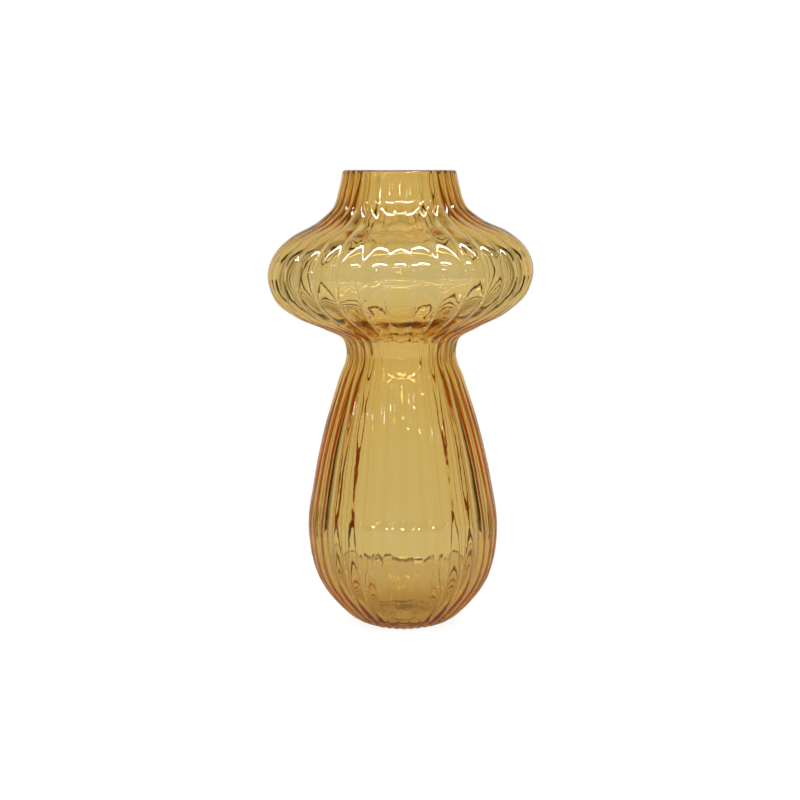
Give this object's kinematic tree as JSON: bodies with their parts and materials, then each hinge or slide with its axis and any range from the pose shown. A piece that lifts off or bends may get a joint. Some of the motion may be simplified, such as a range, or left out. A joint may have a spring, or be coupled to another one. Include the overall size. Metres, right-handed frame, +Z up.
{
  "type": "ribbed glass vase",
  "caption": "Mushroom-shaped ribbed vase in clear amber glass, with a wide short mouth, a flattened bulb, a narrow waist and a pear-shaped body.",
  "frame": {"origin": "centre of the foot, on the surface that the vase stands on", "axes": "+Z up the vase's axis, from the foot to the mouth; +X and +Y are any two square directions, with a rib crest on +X"},
  "size_m": [0.1454, 0.1454, 0.25],
  "materials": {
    "amber_glass": "fire-polished mould-blown amber glass, clear and glossy"
  },
  "bodies": {
    "root": {"glass_vase": "amber_glass"}
  },
  "joints": []
}
